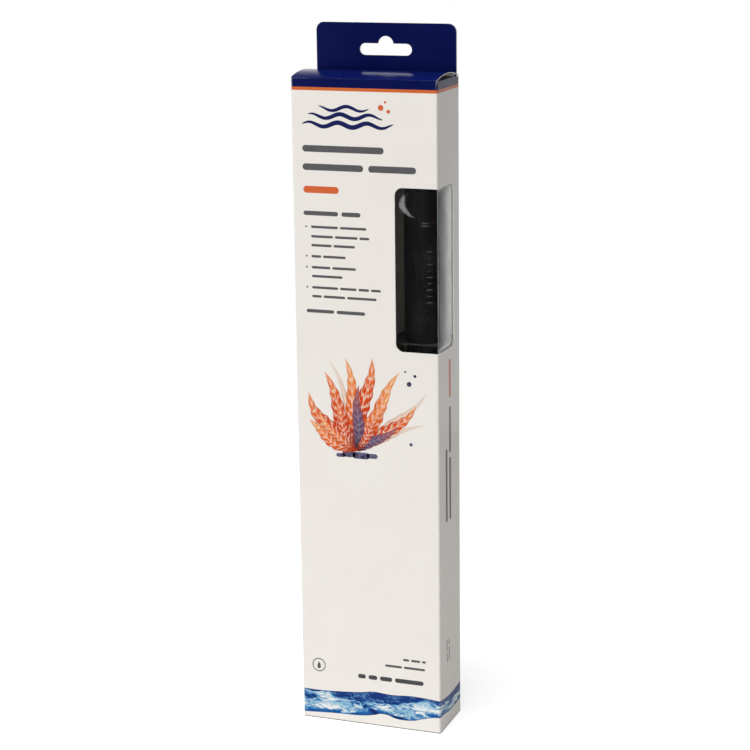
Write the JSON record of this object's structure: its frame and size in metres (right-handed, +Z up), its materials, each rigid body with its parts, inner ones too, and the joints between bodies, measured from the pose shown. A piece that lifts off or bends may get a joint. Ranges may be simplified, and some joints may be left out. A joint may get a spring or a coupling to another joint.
{
  "type": "submersible aquarium heater",
  "caption": "Submersible aquarium heater with a temperature knob and suction-cup clips, held in a windowed hanging carton.",
  "frame": {"origin": "bottom centre of the carton, on the surface that it stands on", "axes": "+Z up along the carton and the heater, front panel facing -Y, window corner towards +X"},
  "size_m": [0.095, 0.042, 0.4505],
  "materials": {
    "board_white": "printed and varnished",
    "board_navy": "printed and varnished",
    "board_raw": "unprinted inner side",
    "ink_grey": "offset ink under varnish",
    "ink_navy": "offset ink under varnish",
    "ink_orange": "offset ink under varnish",
    "ink_picture": "offset ink under varnish",
    "fitment_board": "plain grey board",
    "clear_film": "clear film",
    "black_gloss": "glossy",
    "black_satin": "satin",
    "black_rubber": "soft matt",
    "amber_lens": "tinted clear",
    "screw_steel": "plated",
    "carrier_plastic": "moulded",
    "circuit_green": "solder resist",
    "relay_blue": "moulded",
    "capacitor_ochre": "dipped",
    "pot_grey": "moulded",
    "sensor_brown": "dipped",
    "cutout_ochre": "sleeved",
    "ceramic_cream": "fired, unglazed",
    "heating_wire": "oxidised",
    "mica_tan": "pressed sheet",
    "copper_wire": "tinned copper",
    "cup_rubber": "soft, slightly clear"
  },
  "bodies": {
    "carton": {"front_panel": "board_white", "right_side_panel": "board_white", "back_panel": "board_white", "left_side_panel": "board_white", "glue_strip": "board_raw", "tab_front_ply": "board_navy", "window_film": "clear_film", "bottom_outer_flap": "board_white", "bottom_inner_flap": "board_raw", "bottom_dust_flap_left": "board_raw", "bottom_dust_flap_right": "board_raw"},
    "lid": {"top_panel": "board_navy"},
    "tongue": {"tuck_tongue": "board_navy"},
    "flap_left": {"dust_flap_left": "board_navy"},
    "flap_right": {"dust_flap_right": "board_navy"},
    "inner_pack": {"fitment_wall": "fitment_board", "fitment_front_leg": "fitment_board", "fitment_back_leg": "fitment_board", "shelf_lower": "fitment_board", "shelf_middle": "fitment_board", "foot_cap": "black_rubber", "body_tube": "black_gloss", "tube_seal": "black_rubber", "head_housing": "black_gloss", "front_cover": "black_gloss", "indicator_light": "amber_lens", "cap_gasket": "black_rubber", "head_cap": "black_satin", "cap_screws": "screw_steel", "cable_gland": "black_rubber", "spindle_seal": "black_rubber", "board_carrier": "carrier_plastic", "circuit_board": "circuit_green", "relay": "relay_blue", "film_capacitor": "capacitor_ochre", "setting_potentiometer": "pot_grey", "thermal_cutout": "cutout_ochre", "temperature_sensor": "sensor_brown", "heating_core": "ceramic_cream", "heating_coil": "heating_wire", "mica_disc_lower": "mica_tan", "mica_disc_upper": "mica_tan", "lead_wires": "copper_wire"},
    "knob": {"temperature_knob": "black_satin", "knob_spindle": "screw_steel"},
    "clip_low": {"clip_lower": "black_satin", "suction_cup_lower": "cup_rubber"},
    "clip_high": {"clip_upper": "black_satin", "suction_cup_upper": "cup_rubber"}
  },
  "joints": [
    {"name": "lid_crease", "type": "hinge", "parent": "carton", "child": "lid", "pos_m": [0, -0.0207, 0.4197], "axis": [1, 0, 0], "range_deg": [0, 165]},
    {"name": "tongue_crease", "type": "hinge", "parent": "lid", "child": "tongue", "pos_m": [0, 0.0192, 0.4197], "axis": [-1, 0, 0], "range_deg": [0, 25]},
    {"name": "flap_left_crease", "type": "hinge", "parent": "carton", "child": "flap_left", "pos_m": [-0.0472, 0, 0.4189], "axis": [0, -1, 0], "range_deg": [0, 100]},
    {"name": "flap_right_crease", "type": "hinge", "parent": "carton", "child": "flap_right", "pos_m": [0.0472, 0, 0.4189], "axis": [0, 1, 0], "range_deg": [0, 100]},
    {"name": "inner_pack_slide", "type": "slide", "parent": "carton", "child": "inner_pack", "axis": [0, 0, 1], "range_m": [0, 0.032]},
    {"name": "knob_turn", "type": "hinge", "parent": "inner_pack", "child": "knob", "pos_m": [0.0354, -0.00622, 0.38], "axis": [0, 0, 1], "range_deg": [-140, 140]},
    {"name": "clip_low_slide", "type": "slide", "parent": "inner_pack", "child": "clip_low", "axis": [0, 0, 1], "range_m": [-0.012, 0.012]},
    {"name": "clip_high_slide", "type": "slide", "parent": "inner_pack", "child": "clip_high", "axis": [0, 0, 1], "range_m": [-0.012, 0.012]}
  ],
  "couplings": [
    {"joint": "flap_left_crease", "follows": "lid_crease", "ratio": 0.6},
    {"joint": "flap_right_crease", "follows": "lid_crease", "ratio": 0.6}
  ]
}
